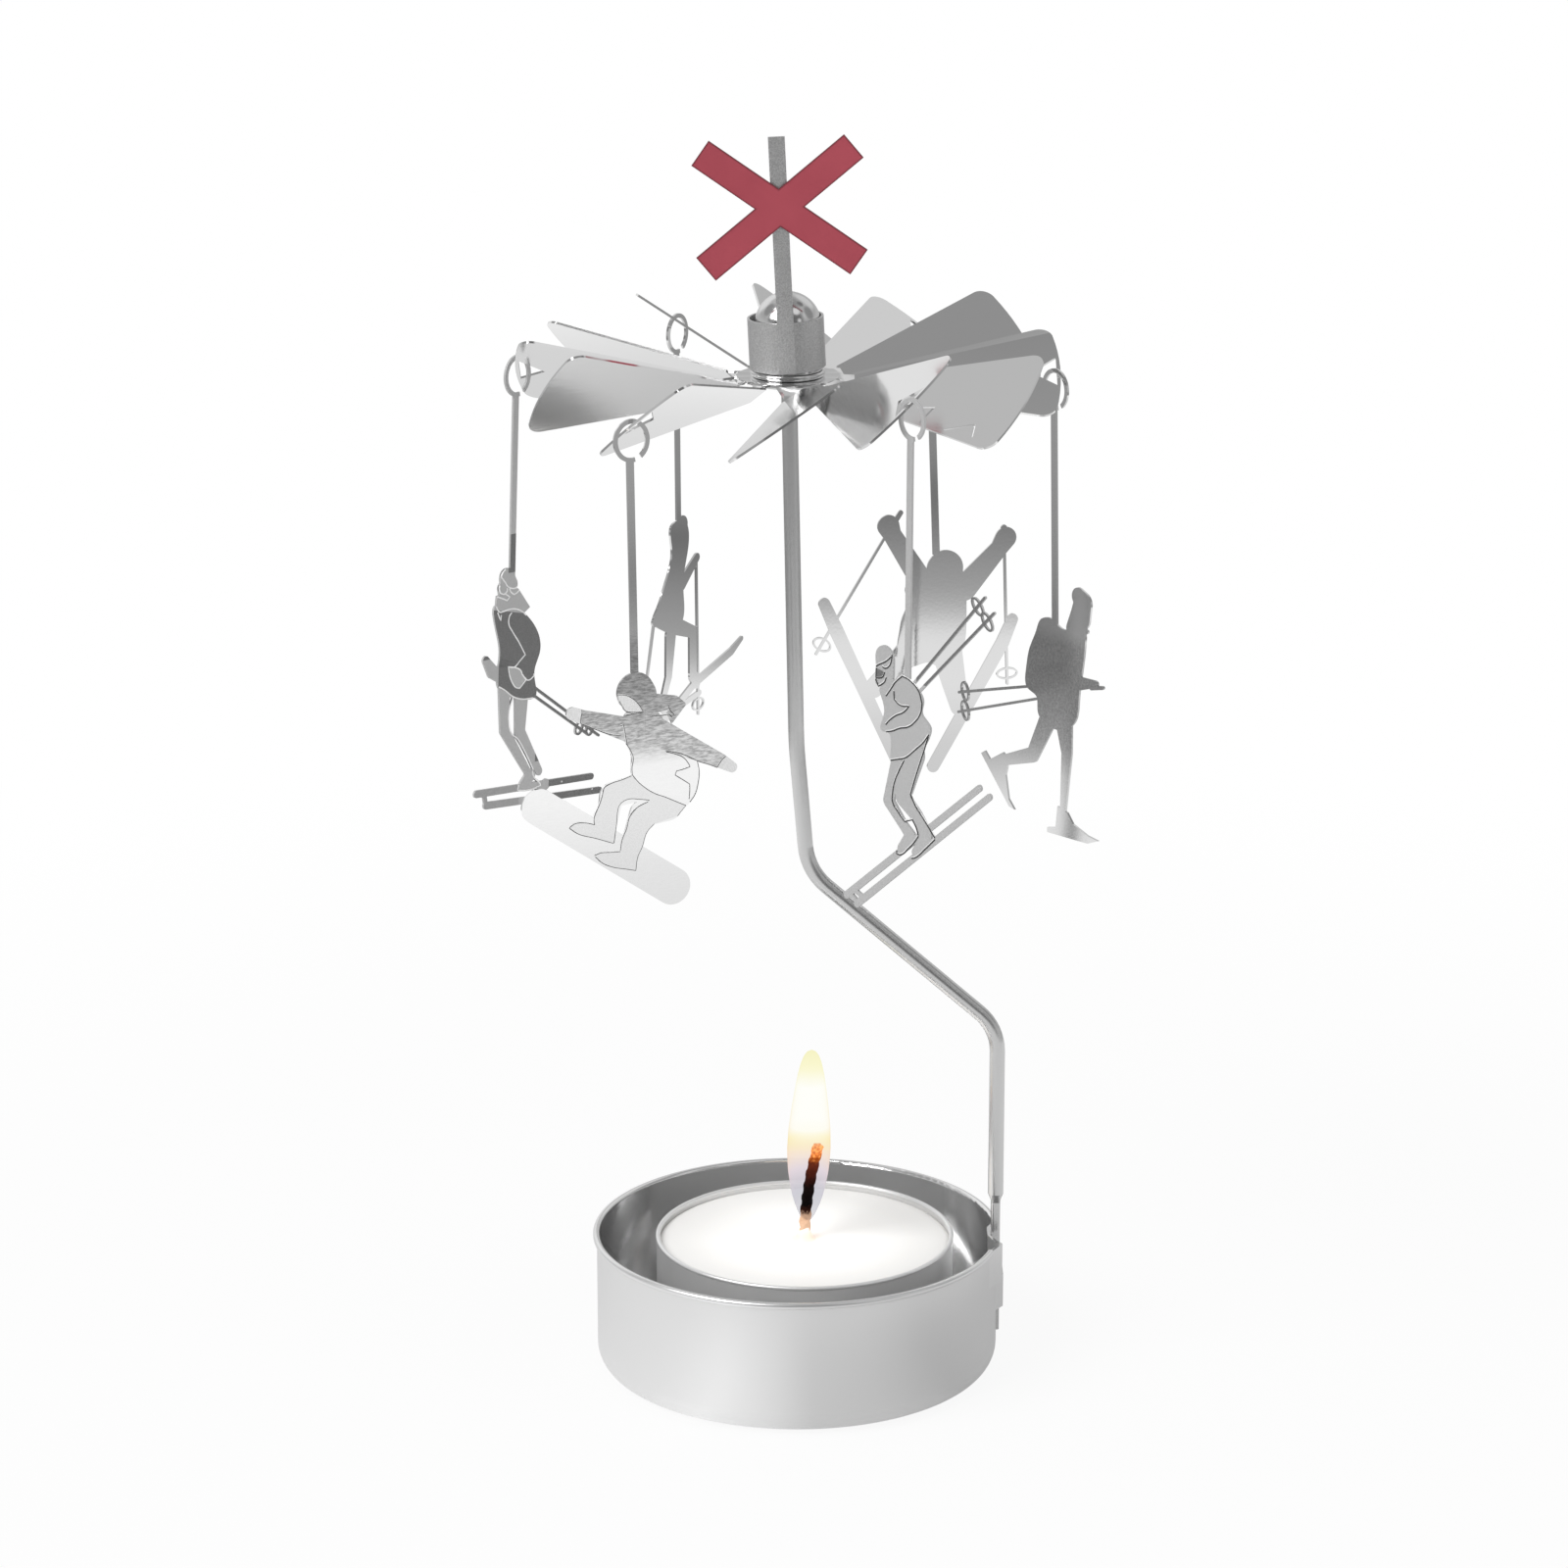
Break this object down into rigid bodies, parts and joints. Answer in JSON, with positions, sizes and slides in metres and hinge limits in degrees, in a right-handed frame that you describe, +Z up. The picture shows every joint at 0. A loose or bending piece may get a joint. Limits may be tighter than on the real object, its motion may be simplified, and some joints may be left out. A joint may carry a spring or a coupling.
{
  "type": "candle carousel",
  "caption": "Candle carousel: a tealight cup holds a bent wire stem, on whose point a wheel of twisted vanes turns and carries hanging sheet-metal winter sport figures and a crossed trail sign.",
  "frame": {"origin": "centre of the cup's underside, where the object stands on the table", "axes": "+Z up, +X towards the wall socket that holds the stem, +Y away from the picture's camera"},
  "size_m": [0.0792, 0.0852, 0.1622],
  "materials": {
    "cup": "polished",
    "stem": "drawn wire, bright",
    "pivot_cap": "polished",
    "vane_wheel": "polished",
    "sign_post": "satin",
    "sign_cross": "satin enamel",
    "skater": "polished",
    "jumper": "polished",
    "ski_tourer": "polished",
    "standing_skier": "polished with an etched drawing",
    "snowboarder": "polished with an etched drawing",
    "downhill_racer": "polished with an etched drawing",
    "tealight_cup": "bright",
    "tealight_wax": "waxy",
    "wick": "burnt cotton",
    "wick_sustainer": "tinned"
  },
  "bodies": {
    "cup_body": {"cup": "cup"},
    "stem_body": {"stem": "stem"},
    "wheel_body": {"pivot_cap": "pivot_cap", "vane_wheel": "vane_wheel"},
    "sign_body": {"sign_post": "sign_post", "sign_cross": "sign_cross"},
    "skater_body": {"skater": "skater"},
    "jumper_body": {"jumper": "jumper"},
    "tourer_body": {"ski_tourer": "ski_tourer"},
    "skier_body": {"standing_skier": "standing_skier"},
    "snowboarder_body": {"snowboarder": "snowboarder"},
    "racer_body": {"downhill_racer": "downhill_racer"},
    "tealight_body": {"tealight_cup": "tealight_cup", "tealight_wax": "tealight_wax", "wick": "wick", "wick_sustainer": "wick_sustainer"}
  },
  "joints": [
    {"name": "stem_lift", "type": "slide", "parent": "cup_body", "child": "stem_body", "axis": [0, 0, 1], "range_m": [0, 0.0145]},
    {"name": "wheel_spin", "type": "hinge", "parent": "stem_body", "child": "wheel_body", "pos_m": [-0.0012, 0, 0.13115], "axis": [0, 0, 1], "continuous": true},
    {"name": "sign_lift", "type": "slide", "parent": "wheel_body", "child": "sign_body", "axis": [0, 0, 1], "range_m": [0, 0.01]},
    {"name": "skater_swing", "type": "hinge", "parent": "wheel_body", "child": "skater_body", "pos_m": [0.03203, -0.00028, 0.12956], "axis": [-0.766, -0.6428, 0], "range_deg": [-12, 12]},
    {"name": "jumper_swing", "type": "hinge", "parent": "wheel_body", "child": "jumper_body", "pos_m": [0.01743, 0.02782, 0.12887], "axis": [0.2588, -0.9659, 0], "range_deg": [-12, 12]},
    {"name": "tourer_swing", "type": "hinge", "parent": "wheel_body", "child": "tourer_body", "pos_m": [-0.0155, 0.03002, 0.13034], "axis": [0.8387, -0.5446, 0], "range_deg": [-12, 12]},
    {"name": "skier_swing", "type": "hinge", "parent": "wheel_body", "child": "skier_body", "pos_m": [-0.03479, 0.00036, 0.13117], "axis": [0.766, -0.6428, 0], "range_deg": [-12, 12]},
    {"name": "snowboarder_swing", "type": "hinge", "parent": "wheel_body", "child": "snowboarder_body", "pos_m": [-0.0199, -0.02764, 0.12927], "axis": [0.4226, -0.9063, 0], "range_deg": [-12, 12]},
    {"name": "racer_swing", "type": "hinge", "parent": "wheel_body", "child": "racer_body", "pos_m": [0.01354, -0.03082, 0.13255], "axis": [-0.766, -0.6428, 0], "range_deg": [-12, 12]},
    {"name": "tealight_lift", "type": "slide", "parent": "cup_body", "child": "tealight_body", "axis": [0, 0, 1], "range_m": [0, 0.019]}
  ]
}
